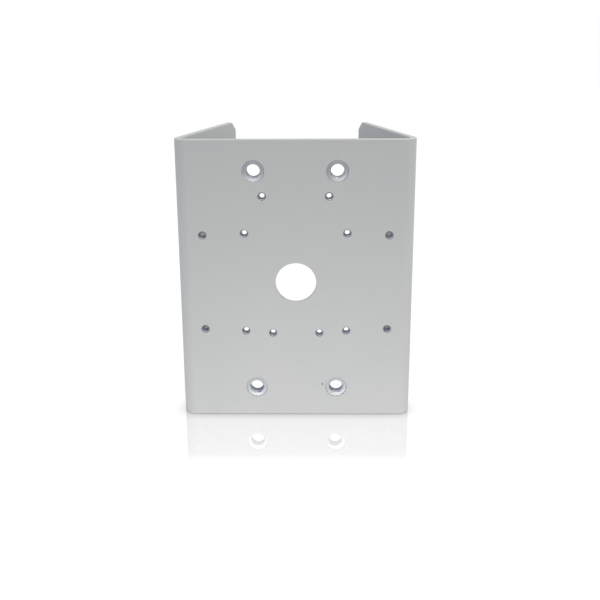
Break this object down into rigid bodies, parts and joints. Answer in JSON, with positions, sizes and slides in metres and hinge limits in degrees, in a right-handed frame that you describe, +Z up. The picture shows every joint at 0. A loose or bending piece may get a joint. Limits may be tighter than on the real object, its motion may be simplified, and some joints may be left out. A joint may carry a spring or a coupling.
{
  "type": "camera pole mount adapter",
  "caption": "Folded metal bracket with swept-back wings that straps to a pole and carries a camera arm on pressed-in nuts.",
  "frame": {"origin": "centre of the cable hole on the plate's front face", "axes": "+X across the plate, +Y back from the plate's front towards the pole, +Z up"},
  "size_m": [0.152, 0.0813, 0.186],
  "materials": {
    "powder_coat": "light grey powder coat with a fine satin texture",
    "zinc_plate": "bright bluish zinc plating on turned steel"
  },
  "bodies": {
    "root": {"folded_bracket": "powder_coat", "mount_nut_top_left": "zinc_plate", "mount_nut_top_right": "zinc_plate", "mount_nut_bottom_left": "zinc_plate", "mount_nut_bottom_right": "zinc_plate", "outer_nut_top_left": "zinc_plate", "outer_nut_top_right": "zinc_plate", "outer_nut_bottom_left": "zinc_plate", "outer_nut_bottom_right": "zinc_plate", "inner_nut_top_left": "zinc_plate", "inner_nut_top_right": "zinc_plate", "inner_nut_bottom_left": "zinc_plate", "inner_nut_bottom_right": "zinc_plate", "upper_pair_nut_left": "zinc_plate", "upper_pair_nut_right": "zinc_plate", "lower_pair_nut_left": "zinc_plate", "lower_pair_nut_right": "zinc_plate"}
  },
  "joints": []
}
